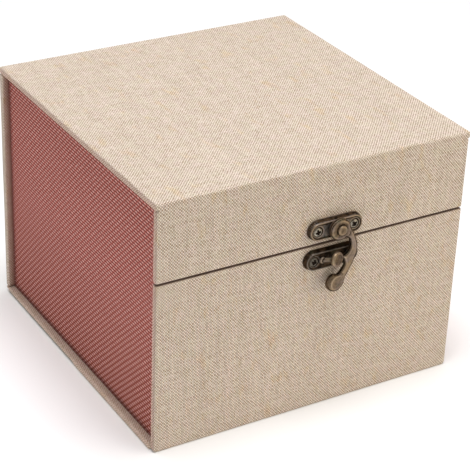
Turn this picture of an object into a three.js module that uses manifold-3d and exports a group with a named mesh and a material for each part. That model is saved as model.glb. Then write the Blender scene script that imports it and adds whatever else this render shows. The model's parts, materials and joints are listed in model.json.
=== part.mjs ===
// Cloth-covered storage box for a doll's head, closed by a swing hook.
// Millimetres, +Z up, front towards -Y, origin at the middle of the underside.
import * as THREE from 'three';
import { mergeVertices } from 'three/addons/utils/BufferGeometryUtils.js';
import Module from 'manifold-3d';

const wasm = await Module();
wasm.setup();

// Driving sizes of the case
const boxWidth = 160;
const boxDepth = 159;
const boxHeight = 123.5;
const partingHeight = 85.3;
const boardThickness = 2.4;
const clothThickness = 0.4;
const edgeRadius = 1.2;
const endRadius = 0.7;
const baseFoldRadius = 2.4;
const frontInset = 0.6;
const turnInWidth = 5;

// Clearances
const foldGap = 0.15;
const partingGap = 0.3;
const baseFoldGap = 0.5;
const trayClearance = 0.2;
const rimClearance = 0.3;
const softClearance = 0.3;
const holeClearance = 0.15;

// Driving sizes of the tray and its padding
const sideRecess = 3.4;
const wallThickness = 2.2;
const floorThickness = 2.2;
const rimTurnIn = 12;
const foamTopBelowRim = 12;
const foamSideGap = 0.6;
const wellRadius = 50;
const wellFloorThickness = 14;
const lidPadThickness = 10;
const lidPadInset = 6;

// Driving sizes of the cloth joints
const hingeStripBelow = 3.2;
const hingeStripAbove = 1.6;

// Driving sizes of the latch
const plateLength = 28;
const plateWidth = 9.7;
const plateThickness = 2.6;
const plateDraft = 0.7;
const plateRimWidth = 0.6;
const plateRimHeight = 0.35;
const hookPlateX = 8.4;
const hookPlateAboveParting = 7.8;
const catchPlateX = 7.2;
const catchPlateBelowParting = 6.8;
const screwSpacing = 19.5;
const screwHeadRadius = 2.1;
const screwHeadHeight = 0.9;
const screwShankRadius = 1;
const screwLength = 4.6;
const screwSeatRadius = 2.6;
const screwSeatDepth = 0.7;
const crossWidth = 0.6;
const crossLength = 2.7;
const crossDepth = 0.6;
const pivotOffset = 0.9;
const rivetRadius = 1.5;
const rivetCapRadius = 2.9;
const rivetCapHeight = 1.3;
const rivetCapBevel = 0.5;
const studBaseX = -5.2;
const studBaseZ = 0.1;
const studHeadX = -0.1;
const studHeadZ = 1.1;
const studCollarRadius = 1.9;
const studCollarHeight = 1;
const studNeckRadius = 1.2;
const studHeadRadius = 3.5;
const studHeadProud = 7.6;
const studHeadThickness = 1.6;

// Driving sizes of the hook's upper half: how far right of the pivot and how far below it
const hookGap = 0.3;
const hookThickness = 2;
const hookRingRadius = 5.4;
const shoulderX = 7.5;
const shoulderDrop = 4.4;
const bulgeX = 9.3;
const bulgeDrop = 10.7;
const innerBulgeX = 5.9;
const innerBulgeDrop = 9.8;
const innerShoulderX = 5;
const innerShoulderDrop = 5.9;
const ringStartAngle = -55;
const ringEndAngle = 5;

// Driving sizes of its lower half: how far right of the pivot and how far below the catch plate's middle
const mouthX = 4.4;
const mouthBelowCatch = -1.8;
const barbTipX = 1.9;
const barbTipBelowCatch = -0.6;
const barbRootX = 3;
const barbRootBelowCatch = 1.8;
const flankX = 7.8;
const flankBelowCatch = 2.2;
const saddleX = 3.2;
const saddleBelowCatch = 4.3;
const throatX = 0.4;
const throatBelowCatch = 8;
const heelX = 4;
const heelBelowCatch = 9.7;
const knobX = -1.2;
const knobBelowCatch = 11.8;
const knobRadius = 4.4;
const knobStartAngle = 5;
const knobEndAngle = 105;

// How finely round stretches are divided
const foldSegments = 3;
const holeSegments = 20;
const shankSegments = 16;
const headSegments = 24;
const discSegments = 28;
const wellSegments = 48;
const outlineSegments = 20;

// Smallest corner of a panel's section, and the spacing under which two points are one
const leastCorner = 0.05;
const samePoint = 1e-3;

// Heights and depths that follow
const coverThickness = boardThickness + 2 * clothThickness;
const halfWidth = boxWidth / 2;
const halfDepth = boxDepth / 2;
const lidUnderside = boxHeight - coverThickness;
const panelTop = lidUnderside - foldGap;
const coverInside = halfDepth - coverThickness;
const frontHalfWidth = halfWidth - frontInset;
const rimHeight = lidUnderside - rimClearance;
const trayHalfWidth = halfWidth - sideRecess;
const trayHalfDepth = coverInside - trayClearance;
const wallOuterX = trayHalfWidth - clothThickness;
const wallInnerX = wallOuterX - wallThickness;
const wallOuterY = trayHalfDepth - clothThickness;
const wallInnerY = wallOuterY - wallThickness;
const wallTop = rimHeight - clothThickness;
const turnInBottom = wallTop - rimTurnIn;
const floorTop = coverThickness + floorThickness;
const liningTop = floorTop + clothThickness;
const insideX = wallInnerX - clothThickness;
const insideY = wallInnerY - clothThickness;
const hookPlateZ = partingHeight + hookPlateAboveParting;
const catchPlateZ = partingHeight - catchPlateBelowParting;

// Paper-covered board, linen, red cloth, lining and metal
const boardMaterial = new THREE.MeshStandardMaterial({ color: 0x9c8f80, roughness: 0.95, metalness: 0 });
const linenMaterial = new THREE.MeshStandardMaterial({ color: 0xcdb9a0, roughness: 0.95, metalness: 0 });
const redMaterial = new THREE.MeshStandardMaterial({ color: 0x9b5a52, roughness: 0.9, metalness: 0 });
const liningMaterial = new THREE.MeshStandardMaterial({ color: 0xe6dccb, roughness: 0.9, metalness: 0 });
const plushMaterial = new THREE.MeshStandardMaterial({ color: 0xefe6d8, roughness: 1, metalness: 0 });
const bronzeMaterial = new THREE.MeshStandardMaterial({ color: 0x6b5a42, roughness: 0.45, metalness: 0.9 });
const steelMaterial = new THREE.MeshStandardMaterial({ color: 0x9a9a94, roughness: 0.4, metalness: 0.9 });

const box = new THREE.Group();

// Solids: a geometry becomes a manifold for cuts and comes back as a geometry
function solidOf(geometry) {
  const bare = geometry.index ? geometry.toNonIndexed() : geometry.clone();
  bare.deleteAttribute('normal');
  bare.deleteAttribute('uv');
  const merged = mergeVertices(bare, samePoint / 10);
  return new wasm.Manifold(new wasm.Mesh({
    numProp: 3,
    vertProperties: new Float32Array(merged.attributes.position.array),
    triVerts: new Uint32Array(merged.index.array),
  }));
}

function geometryOf(solid) {
  const mesh = solid.getMesh();
  const geometry = new THREE.BufferGeometry();
  geometry.setAttribute('position', new THREE.BufferAttribute(new Float32Array(mesh.vertProperties), 3));
  geometry.setIndex(new THREE.BufferAttribute(new Uint32Array(mesh.triVerts), 1));
  geometry.computeVertexNormals();
  return geometry;
}

function addPiece(name, solid, material) {
  const mesh = new THREE.Mesh(geometryOf(solid), material);
  mesh.name = name;
  box.add(mesh);
}

// An outline whose arcs meet its lines without doubled points
function clean(outline, segments) {
  const points = outline.getPoints(segments);
  const kept = points.filter((point, i) => point.distanceTo(points.at(i - 1)) > samePoint);
  return new THREE.Shape(kept);
}

// A block between two opposite corners, given in any order
function block(corner, opposite) {
  const low = corner.map((value, axis) => Math.min(value, opposite[axis]));
  const high = corner.map((value, axis) => Math.max(value, opposite[axis]));
  const geometry = new THREE.BoxGeometry();
  const points = geometry.attributes.position;
  for (let i = 0; i < points.count; i += 1) {
    for (const axis of [0, 1, 2]) {
      const side = points.getComponent(i, axis) < 0 ? low : high;
      points.setComponent(i, axis, side[axis]);
    }
  }
  return solidOf(geometry);
}

// A panel that runs across the box: its section lies in the YZ plane with a radius at each corner,
// and its two ends are rounded off
function panel(halfLength, low, high, radii) {
  const [y0, z0] = [low[0] + endRadius, low[1] + endRadius];
  const [y1, z1] = [high[0] - endRadius, high[1] - endRadius];
  const corners = radii.map((radius) => Math.max(radius - endRadius, leastCorner));
  const section = new THREE.Shape();
  section.moveTo(y0 + corners[0], z0);
  section.lineTo(y1 - corners[1], z0);
  section.absarc(y1 - corners[1], z0 + corners[1], corners[1], -Math.PI / 2, 0);
  section.lineTo(y1, z1 - corners[2]);
  section.absarc(y1 - corners[2], z1 - corners[2], corners[2], 0, Math.PI / 2);
  section.lineTo(y0 + corners[3], z1);
  section.absarc(y0 + corners[3], z1 - corners[3], corners[3], Math.PI / 2, Math.PI);
  section.lineTo(y0, z0 + corners[0]);
  section.absarc(y0 + corners[0], z0 + corners[0], corners[0], Math.PI, Math.PI * 1.5);
  const geometry = new THREE.ExtrudeGeometry(clean(section, foldSegments), {
    depth: 2 * (halfLength - endRadius),
    bevelEnabled: true,
    bevelSize: endRadius,
    bevelThickness: endRadius,
    bevelSegments: foldSegments,
  });
  geometry.translate(0, 0, endRadius - halfLength);
  geometry.applyMatrix4(new THREE.Matrix4().set(0, 0, 1, 0, 1, 0, 0, 0, 0, 1, 0, 0, 0, 0, 0, 1));
  return solidOf(geometry);
}

// The greyboard inside a panel, one cloth thickness in from every face
function boardIn(halfLength, low, high) {
  return block(
    [-halfLength + clothThickness, low[0] + clothThickness, low[1] + clothThickness],
    [halfLength - clothThickness, high[0] - clothThickness, high[1] - clothThickness],
  );
}

// Latch solids are drawn in X and Z, pivot or centre at zero, and stand out towards the front
function onFront(geometry, x, z, proud) {
  geometry.rotateX(Math.PI / 2);
  geometry.translate(x, -halfDepth - proud, z);
  return solidOf(geometry);
}

function frontDisc(radius, height, x, z, proud, segments = discSegments) {
  const geometry = new THREE.CylinderGeometry(radius, radius, height, segments);
  geometry.translate(0, -proud - height / 2, 0);
  geometry.applyMatrix4(new THREE.Matrix4().makeTranslation(x, -halfDepth, z));
  return solidOf(geometry);
}

// Holes that the four screws need through cloth, board and plate
const screwPlaces = {
  hook_screw_left: [hookPlateX - screwSpacing / 2, hookPlateZ],
  hook_screw_right: [hookPlateX + screwSpacing / 2, hookPlateZ],
  catch_screw_left: [catchPlateX - screwSpacing / 2, catchPlateZ],
  catch_screw_right: [catchPlateX + screwSpacing / 2, catchPlateZ],
};
const screwSeatProud = plateThickness - screwSeatDepth;

function screwHole([x, z]) {
  const depth = screwLength - screwSeatProud + holeClearance;
  return frontDisc(screwShankRadius + holeClearance, depth + plateThickness, x, z, -depth, holeSegments);
}

const hookHoles = screwHole(screwPlaces.hook_screw_left).add(screwHole(screwPlaces.hook_screw_right));
const catchHoles = screwHole(screwPlaces.catch_screw_left).add(screwHole(screwPlaces.catch_screw_right));

// Bands of cloth that cross the folds lie flush in the outer faces
const backBottom = coverThickness + baseFoldGap;
const baseFoldBand = block(
  [-halfWidth + endRadius, halfDepth - clothThickness, baseFoldRadius],
  [halfWidth - endRadius, halfDepth, backBottom + hingeStripBelow],
);
const foldZ = lidUnderside - foldGap / 2;
const stripBottom = foldZ - hingeStripBelow;
const stripTop = foldZ + hingeStripAbove;
const lidHingeBand = block(
  [-halfWidth + endRadius, halfDepth - clothThickness, stripBottom],
  [halfWidth - endRadius, halfDepth, stripTop],
);
const flapFoldBand = block(
  [-frontHalfWidth + endRadius, -halfDepth, stripBottom],
  [frontHalfWidth - endRadius, clothThickness - halfDepth, stripTop],
);

// The cover of one panel: cloth round a board, open over a window on its inner face
function coveredPanel(name, halfLength, low, high, radii, window, cuts) {
  const board = boardIn(halfLength, low, high);
  let cloth = panel(halfLength, low, high, radii).subtract(board).subtract(window);
  let core = board;
  for (const cut of cuts) {
    cloth = cloth.subtract(cut);
    core = core.subtract(cut);
  }
  addPiece(`${name}_board`, core, boardMaterial);
  addPiece(`${name}_cloth`, cloth, linenMaterial);
}

// Window of a panel that lies flat: the lining's place, inside the turned-in cloth
function flatWindow(halfLength, low, high, z0, z1) {
  return block(
    [-halfLength + turnInWidth, low + turnInWidth, z0],
    [halfLength - turnInWidth, high - turnInWidth, z1],
  );
}

// Window of a panel that stands upright
function uprightWindow(halfLength, y0, y1, low, high) {
  return block(
    [-halfLength + turnInWidth, y0, low + turnInWidth],
    [halfLength - turnInWidth, y1, high - turnInWidth],
  );
}

// Base: lies behind the front panel and under the back panel, with a wide fold at its back edge
const baseLow = [-coverInside, 0];
const baseHigh = [halfDepth, coverThickness];
const baseBoardEnd = halfDepth - baseFoldRadius;
const baseBoard = boardIn(halfWidth, baseLow, [baseBoardEnd, coverThickness]);
const baseWindow = flatWindow(
  halfWidth, baseLow[0], baseBoardEnd, coverThickness - clothThickness, coverThickness,
);
addPiece('base_board', baseBoard, boardMaterial);
addPiece(
  'base_cloth',
  panel(halfWidth, baseLow, baseHigh, [edgeRadius, baseFoldRadius, endRadius, edgeRadius])
    .subtract(baseBoard).subtract(baseWindow).subtract(baseFoldBand),
  linenMaterial,
);

// Back panel, standing on the fold
const backLow = [coverInside, backBottom];
const backHigh = [halfDepth, panelTop];
const backWindow = uprightWindow(
  halfWidth, coverInside, coverInside + clothThickness, backLow[1], backHigh[1],
);
const roundAll = [edgeRadius, edgeRadius, edgeRadius, edgeRadius];
coveredPanel('back', halfWidth, backLow, backHigh, roundAll, backWindow, [lidHingeBand, baseFoldBand]);

// Lower front panel, in front of the base, with the catch's screw holes
const frontLow = [-halfDepth, 0];
const frontHigh = [-coverInside, partingHeight - partingGap / 2];
const frontWindow = uprightWindow(
  frontHalfWidth, -coverInside - clothThickness, -coverInside, frontLow[1], frontHigh[1],
);
coveredPanel('front', frontHalfWidth, frontLow, frontHigh, roundAll, frontWindow, [catchHoles]);

// Lid panel
const lidLow = [-halfDepth, lidUnderside];
const lidHigh = [halfDepth, boxHeight];
const liningPlane = lidUnderside + clothThickness;
const lidWindow = flatWindow(halfWidth, -halfDepth, halfDepth, lidUnderside, liningPlane);
coveredPanel('lid', halfWidth, lidLow, lidHigh, roundAll, lidWindow, [lidHingeBand, flapFoldBand]);
addPiece('lid_lining', lidWindow, liningMaterial);

// Front flap, hanging from the lid, with the hook plate's screw holes
const flapLow = [-halfDepth, partingHeight + partingGap / 2];
const flapHigh = [-coverInside, panelTop];
const flapWindow = uprightWindow(
  frontHalfWidth, -coverInside - clothThickness, -coverInside, flapLow[1], flapHigh[1],
);
coveredPanel('flap', frontHalfWidth, flapLow, flapHigh, roundAll, flapWindow, [flapFoldBand, hookHoles]);
addPiece('flap_lining', flapWindow.subtract(hookHoles), liningMaterial);

// Cloth across the two folds that turn, and across the fixed fold at the base
addPiece('lid_hinge_cloth', lidHingeBand, linenMaterial);
addPiece('flap_fold_cloth', flapFoldBand, linenMaterial);
addPiece('base_fold_cloth', baseFoldBand, linenMaterial);

// Tray side walls of board, with red cloth up the outside, over the rim and a short way down inside
for (const side of [-1, 1]) {
  const name = side < 0 ? 'left' : 'right';
  const outer = side * wallOuterX;
  const inner = side * wallInnerX;
  const board = block([outer, -wallOuterY, coverThickness], [inner, wallOuterY, wallTop]);
  const lining = block([inner, -insideY, liningTop], [side * insideX, insideY, turnInBottom]);
  const core = block([outer, -halfDepth, 0], [inner, halfDepth, wallTop]);
  const belowTurnIn = block([inner, -halfDepth, 0], [0, halfDepth, turnInBottom]);
  const frontEnd = block([inner, -halfDepth, 0], [0, -insideY, boxHeight]);
  const backEnd = block([inner, insideY, 0], [0, halfDepth, boxHeight]);
  const cloth = block(
    [side * trayHalfWidth, -trayHalfDepth, coverThickness],
    [side * insideX, trayHalfDepth, rimHeight],
  ).subtract(core).subtract(belowTurnIn).subtract(frontEnd).subtract(backEnd);
  addPiece(`tray_${name}_wall`, board, boardMaterial);
  addPiece(`tray_${name}_cloth`, cloth, redMaterial);
  addPiece(`${name}_lining`, lining, liningMaterial);
}

// Tray front and back walls, between the side walls, made the same way
for (const side of [-1, 1]) {
  const name = side < 0 ? 'front' : 'back';
  const outer = side * wallOuterY;
  const inner = side * wallInnerY;
  const board = block([-wallInnerX, outer, coverThickness], [wallInnerX, inner, wallTop]);
  const lining = block([-insideX, inner, liningTop], [insideX, side * insideY, turnInBottom]);
  const core = block([-halfWidth, outer, 0], [halfWidth, inner, wallTop]);
  const belowTurnIn = block([-halfWidth, inner, 0], [halfWidth, 0, turnInBottom]);
  const cloth = block(
    [-wallInnerX, side * trayHalfDepth, coverThickness],
    [wallInnerX, side * insideY, rimHeight],
  ).subtract(core).subtract(belowTurnIn);
  addPiece(`tray_${name}_wall`, board.subtract(catchHoles), boardMaterial);
  addPiece(`tray_${name}_cloth`, cloth.subtract(catchHoles), redMaterial);
  addPiece(`${name}_lining`, lining, liningMaterial);
}

// Tray floor and its lining
addPiece(
  'tray_floor',
  block([-wallInnerX, -wallInnerY, coverThickness], [wallInnerX, wallInnerY, floorTop]),
  boardMaterial,
);
addPiece(
  'floor_lining',
  block([-wallInnerX, -wallInnerY, floorTop], [wallInnerX, wallInnerY, liningTop]),
  liningMaterial,
);

// Foam nest with a round well for the head
const foamBottom = liningTop + softClearance;
const foamTop = rimHeight - foamTopBelowRim;
const well = new THREE.CylinderGeometry(wellRadius, wellRadius, foamTop - foamBottom, wellSegments);
well.rotateX(Math.PI / 2);
well.translate(0, 0, (foamTop + foamBottom) / 2 + wellFloorThickness);
addPiece(
  'foam_insert',
  block(
    [-insideX + foamSideGap, -insideY + foamSideGap, foamBottom],
    [insideX - foamSideGap, insideY - foamSideGap, foamTop],
  ).subtract(solidOf(well)),
  plushMaterial,
);

// Pad under the lid
const padTop = lidUnderside - softClearance;
addPiece(
  'lid_pad',
  block(
    [-insideX + lidPadInset, -insideY + lidPadInset, padTop - lidPadThickness],
    [insideX - lidPadInset, insideY - lidPadInset, padTop],
  ),
  plushMaterial,
);

// Long plate with round ends, drafted sides and a thin raised rim
function stadium(length, width) {
  const radius = width / 2;
  const straight = length / 2 - radius;
  const outline = new THREE.Shape();
  outline.moveTo(-straight, -radius);
  outline.lineTo(straight, -radius);
  outline.absarc(straight, 0, radius, -Math.PI / 2, Math.PI / 2);
  outline.lineTo(-straight, radius);
  outline.absarc(-straight, 0, radius, Math.PI / 2, Math.PI * 1.5);
  return clean(outline, outlineSegments);
}

function latchPlate(x, z) {
  const body = new THREE.ExtrudeGeometry(stadium(plateLength - 2 * plateDraft, plateWidth - 2 * plateDraft), {
    depth: plateThickness + plateRimHeight - plateDraft,
    bevelEnabled: true,
    bevelSize: plateDraft,
    bevelThickness: plateDraft,
    bevelSegments: 1,
  });
  const rimInset = 2 * (plateDraft + plateRimWidth);
  const dish = new THREE.ExtrudeGeometry(stadium(plateLength - rimInset, plateWidth - rimInset), {
    depth: plateRimHeight * 2,
    bevelEnabled: false,
  });
  const behindFace = block(
    [-halfWidth, -halfDepth, 0],
    [halfWidth, 0, boxHeight],
  );
  return onFront(body, x, z, 0)
    .subtract(onFront(dish, x, z, plateThickness))
    .subtract(behindFace);
}

function screwSeats(x, z) {
  const left = frontDisc(screwSeatRadius, plateThickness, x - screwSpacing / 2, z, screwSeatProud);
  const right = frontDisc(screwSeatRadius, plateThickness, x + screwSpacing / 2, z, screwSeatProud);
  return left.add(right);
}

const pivotX = hookPlateX + pivotOffset;
const rivetHole = frontDisc(
  rivetRadius + holeClearance, 2 * plateThickness, pivotX, hookPlateZ, -plateThickness,
);
addPiece(
  'hook_plate',
  latchPlate(hookPlateX, hookPlateZ)
    .subtract(screwSeats(hookPlateX, hookPlateZ))
    .subtract(hookHoles)
    .subtract(rivetHole),
  bronzeMaterial,
);

// Catch plate with a hole for the stud's foot
const studFootX = catchPlateX + studBaseX;
const studFootZ = catchPlateZ + studBaseZ;
const studHole = frontDisc(
  studNeckRadius + holeClearance, 2 * plateThickness, studFootX, studFootZ, -plateThickness, holeSegments,
);
addPiece(
  'catch_plate',
  latchPlate(catchPlateX, catchPlateZ)
    .subtract(screwSeats(catchPlateX, catchPlateZ))
    .subtract(catchHoles)
    .subtract(studHole),
  bronzeMaterial,
);

// Screws with a cross recess
for (const [name, [x, z]] of Object.entries(screwPlaces)) {
  const crossProud = screwSeatProud + screwHeadHeight - crossDepth;
  const slotTop = halfDepth + crossProud + screwHeadHeight;
  const shankEnd = screwSeatProud - screwLength;
  const head = frontDisc(screwHeadRadius, screwHeadHeight, x, z, screwSeatProud, headSegments);
  const shank = frontDisc(screwShankRadius, screwLength, x, z, shankEnd, shankSegments);
  const level = block(
    [x - crossLength / 2, -slotTop, z - crossWidth / 2],
    [x + crossLength / 2, -halfDepth - crossProud, z + crossWidth / 2],
  );
  const upright = block(
    [x - crossWidth / 2, -slotTop, z - crossLength / 2],
    [x + crossWidth / 2, -halfDepth - crossProud, z + crossLength / 2],
  );
  addPiece(name, head.add(shank).subtract(level).subtract(upright), steelMaterial);
}

// Rivet that the hook turns on: a shaft through hook and plate under a stepped cap
const hookProud = plateThickness + plateRimHeight + hookGap;
const capProud = hookProud + hookThickness + hookGap;
const rivetProfile = [
  new THREE.Vector2(0, 0),
  new THREE.Vector2(rivetRadius, 0),
  new THREE.Vector2(rivetRadius, capProud),
  new THREE.Vector2(rivetCapRadius, capProud),
  new THREE.Vector2(rivetCapRadius, capProud + rivetCapHeight - rivetCapBevel),
  new THREE.Vector2(rivetCapRadius - rivetCapBevel, capProud + rivetCapHeight),
  new THREE.Vector2(0, capProud + rivetCapHeight),
];
const rivetBody = new THREE.LatheGeometry(rivetProfile, discSegments);
rivetBody.rotateX(Math.PI / 2);
addPiece('pivot_rivet', onFront(rivetBody, pivotX, hookPlateZ, 0), bronzeMaterial);

// Catch stud: a collar on the plate and a neck that leans to the right, under a round head
const studHeadCentre = new THREE.Vector3(
  catchPlateX + studHeadX, -halfDepth - studHeadProud + studHeadThickness / 2, catchPlateZ + studHeadZ,
);
const studFoot = new THREE.Vector3(
  studFootX, -halfDepth - plateThickness - studCollarHeight, studFootZ,
);
const neckDirection = studHeadCentre.clone().sub(studFoot);
const neckLength = neckDirection.length();
const neck = new THREE.CylinderGeometry(studNeckRadius, studNeckRadius, neckLength, shankSegments);
neck.translate(0, neckLength / 2, 0);
neck.applyQuaternion(
  new THREE.Quaternion().setFromUnitVectors(new THREE.Vector3(0, 1, 0), neckDirection.clone().normalize()),
);
neck.translate(studFoot.x, studFoot.y, studFoot.z);
const studFootPin = frontDisc(studNeckRadius, plateThickness, studFootX, studFootZ, 0, shankSegments);
const studCollar = frontDisc(
  studCollarRadius, studCollarHeight, studFootX, studFootZ, plateThickness, holeSegments,
);
const studHead = frontDisc(
  studHeadRadius, studHeadThickness, studHeadCentre.x, studHeadCentre.z, studHeadProud - studHeadThickness,
);
addPiece(
  'catch_stud',
  studFootPin.add(studCollar).add(solidOf(neck)).add(studHead),
  bronzeMaterial,
);

// Swing hook: a ring on the rivet, an arm that bulges to the right, a barb behind the stud's head
// and a round thumb knob. The outline is drawn from the pivot.
const plateSpacing = hookPlateZ - catchPlateZ;

function hookPoint(x, drop) {
  return new THREE.Vector2(x, -drop);
}

function belowCatch(x, drop) {
  return hookPoint(x, plateSpacing + drop);
}

function arcPoint(centre, radius, angle) {
  const turn = THREE.MathUtils.degToRad(angle);
  return new THREE.Vector2(centre.x + radius * Math.cos(turn), centre.y + radius * Math.sin(turn));
}

const ringCentre = hookPoint(0, 0);
const knobCentre = belowCatch(knobX, knobBelowCatch);
const hookOutline = new THREE.Shape();
hookOutline.absarc(
  ringCentre.x, ringCentre.y, hookRingRadius,
  THREE.MathUtils.degToRad(ringStartAngle), THREE.MathUtils.degToRad(ringEndAngle), true,
);
hookOutline.splineThru([
  hookPoint(shoulderX, shoulderDrop),
  hookPoint(bulgeX, bulgeDrop),
  belowCatch(flankX, flankBelowCatch),
  belowCatch(heelX, heelBelowCatch),
  arcPoint(knobCentre, knobRadius, knobStartAngle),
]);
hookOutline.absarc(
  knobCentre.x, knobCentre.y, knobRadius,
  THREE.MathUtils.degToRad(knobStartAngle), THREE.MathUtils.degToRad(knobEndAngle), true,
);
hookOutline.splineThru([
  belowCatch(throatX, throatBelowCatch),
  belowCatch(saddleX, saddleBelowCatch),
  belowCatch(barbRootX, barbRootBelowCatch),
  belowCatch(barbTipX, barbTipBelowCatch),
]);
hookOutline.splineThru([
  belowCatch(mouthX, mouthBelowCatch),
  hookPoint(innerBulgeX, innerBulgeDrop),
  hookPoint(innerShoulderX, innerShoulderDrop),
  arcPoint(ringCentre, hookRingRadius, ringStartAngle),
]);
const hookBody = new THREE.ExtrudeGeometry(clean(hookOutline, outlineSegments), {
  depth: hookThickness,
  bevelEnabled: false,
});
const ringHole = frontDisc(
  rivetRadius + holeClearance, hookThickness + 2 * hookGap, pivotX, hookPlateZ, hookProud - hookGap,
);
addPiece(
  'swing_hook',
  onFront(hookBody, pivotX, hookPlateZ, hookProud).subtract(ringHole),
  bronzeMaterial,
);

export default box;
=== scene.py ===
# A cloth-covered board box that keeps a doll's head: linen boards wrap round a padded tray with red
# sides, and a small bronze swing hook holds the front flap shut.
import json
import math

import bpy
import numpy as np
from mathutils import Matrix, Vector, noise

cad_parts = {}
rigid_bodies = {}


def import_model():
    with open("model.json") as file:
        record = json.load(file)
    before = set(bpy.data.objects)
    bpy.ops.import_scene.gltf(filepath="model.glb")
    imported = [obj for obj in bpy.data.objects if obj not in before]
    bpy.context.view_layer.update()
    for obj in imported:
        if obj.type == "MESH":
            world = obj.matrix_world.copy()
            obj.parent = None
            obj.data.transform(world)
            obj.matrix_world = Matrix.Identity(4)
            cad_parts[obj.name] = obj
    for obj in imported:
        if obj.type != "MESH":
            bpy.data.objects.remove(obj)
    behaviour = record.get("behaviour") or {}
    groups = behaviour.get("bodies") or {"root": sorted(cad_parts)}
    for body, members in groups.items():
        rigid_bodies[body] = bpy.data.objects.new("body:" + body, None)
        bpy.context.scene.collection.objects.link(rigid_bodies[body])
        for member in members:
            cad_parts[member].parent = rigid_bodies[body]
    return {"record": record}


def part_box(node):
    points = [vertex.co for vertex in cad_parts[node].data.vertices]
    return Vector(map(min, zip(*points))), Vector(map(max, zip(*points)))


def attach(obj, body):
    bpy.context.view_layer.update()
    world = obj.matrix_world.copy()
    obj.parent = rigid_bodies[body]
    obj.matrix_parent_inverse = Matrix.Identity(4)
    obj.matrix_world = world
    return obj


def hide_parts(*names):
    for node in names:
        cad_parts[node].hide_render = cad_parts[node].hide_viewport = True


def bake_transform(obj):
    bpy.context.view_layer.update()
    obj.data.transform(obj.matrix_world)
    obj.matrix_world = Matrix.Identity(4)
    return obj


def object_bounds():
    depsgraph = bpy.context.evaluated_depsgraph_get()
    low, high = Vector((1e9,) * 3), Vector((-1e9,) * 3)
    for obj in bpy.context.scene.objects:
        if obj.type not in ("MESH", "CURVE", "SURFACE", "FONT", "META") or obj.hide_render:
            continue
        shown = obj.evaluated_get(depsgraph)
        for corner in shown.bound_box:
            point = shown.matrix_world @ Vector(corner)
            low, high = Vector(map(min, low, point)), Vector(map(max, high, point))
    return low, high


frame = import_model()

cad_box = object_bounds()
mm = 0.001

# The view: a long lens looks down on the front left corner, from the left of the box. Place and turn
# were fitted to the box's straight edges in the photograph.
lens_length = 129.43
sensor_width = 36.0
camera_place = Vector((-0.3683, -0.6141, 0.4415))
camera_right = Vector((0.8628, -0.50431, 0.03536))
camera_up = Vector((0.21462, 0.42872, 0.87757))
camera_turn = Matrix((camera_right, camera_up, camera_right.cross(camera_up))).transposed()
scene = bpy.context.scene


def put_in_scene(name, data):
    thing = bpy.data.objects.new(name, data)
    scene.collection.objects.link(thing)
    return thing


camera = put_in_scene("camera", bpy.data.cameras.new("camera"))
camera.data.lens = lens_length
camera.data.sensor_width = sensor_width
camera.matrix_world = Matrix.Translation(camera_place) @ camera_turn.to_4x4()
bpy.context.scene.camera = camera

# The studio: a white table under a large soft light overhead, a small warm light low at the front right
# and a weak one from the left, in an even pale surround. Each light has a place, width, power and tint.
surround_colour = (1.0, 0.955, 0.90, 1)
surround_strength = 0.45
lit_point = Vector((0, 0, 0.06))
softboxes = {
    "top_light": ((-0.03, -0.12, 1.5), 0.8, 19.0, (0.98, 1.0, 1.04)),
    "front_light": ((0.5, -0.45, 0.24), 0.5, 0.88, (1.0, 0.845, 0.54)),
    "left_light": ((-1.3, -0.5, 0.7), 0.9, 0.8, (1.0, 0.95, 0.92)),
}
table_half = 4.0
table_colour = (0.95, 0.95, 0.95, 1)

scene.view_settings.view_transform = "Standard"
scene.world = bpy.data.worlds.new("surround")
scene.world.use_nodes = True
surround = scene.world.node_tree.nodes["Background"]
surround.inputs["Color"].default_value = surround_colour
surround.inputs["Strength"].default_value = surround_strength
for name, (place, width, power, tint) in softboxes.items():
    light = put_in_scene(name, bpy.data.lights.new(name, "AREA"))
    light.data.size = width
    light.data.energy = power
    light.data.color = tint
    light.location = place
    light.rotation_euler = (lit_point - Vector(place)).to_track_quat("-Z", "Y").to_euler()


def new_finish(name, **constants):
    material = bpy.data.materials.new(name)
    material.use_nodes = True
    shader = material.node_tree.nodes["Principled BSDF"]
    for label, value in constants.items():
        shader.inputs[label.replace("_", " ")].default_value = value
    return material, shader


def make_piece(name, points, faces, material, uvs=None, smooth=True):
    mesh = bpy.data.meshes.new(name)
    mesh.from_pydata([tuple(p) for p in points], [], [tuple(f) for f in faces])
    if uvs is not None:
        layer = mesh.uv_layers.new(name="cloth")
        layer.data.foreach_set("uv", np.array(uvs, dtype=np.float32).ravel())
    if smooth:
        mesh.shade_smooth()
    mesh.materials.append(material)
    mesh.validate()
    return put_in_scene(name, mesh)


square = ((0, 0), (1, 0), (1, 1), (0, 1))
table_corners = [((2 * x - 1) * table_half, (2 * y - 1) * table_half, 0) for x, y in square]
table_finish, _ = new_finish("white table", Base_Color=table_colour, Roughness=0.9)
table = make_piece("table", table_corners, [range(4)], table_finish, smooth=False)

# Woven cloth, for linen, red cloth and lining alike: warp runs up the cloth and weft across it, over
# and under in turn. Yarns wander a little and thicken and darken along their length.
sway_scale = 0.16
yarn_step = 1.37
slow_change = 0.07
fibre_across = 9.0
fibre_along = 1.6
pillow_softness = 0.6
thin_to_thick = (0.3, 0.7, 0.75, 1.1)


# An amount is what a node puts out, so that a finish can be written as plain arithmetic.
class Amount:
    def __init__(self, socket):
        self.socket = socket

    def __add__(self, other):
        return calc("ADD", self, other)

    def __sub__(self, other):
        return calc("SUBTRACT", self, other)

    def __rsub__(self, other):
        return calc("SUBTRACT", other, self)

    def __mul__(self, other):
        return calc("MULTIPLY", self, other)

    def __truediv__(self, other):
        return calc("DIVIDE", self, other)

    def __pow__(self, other):
        return calc("POWER", self, other)

    __radd__ = __add__
    __rmul__ = __mul__


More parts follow.
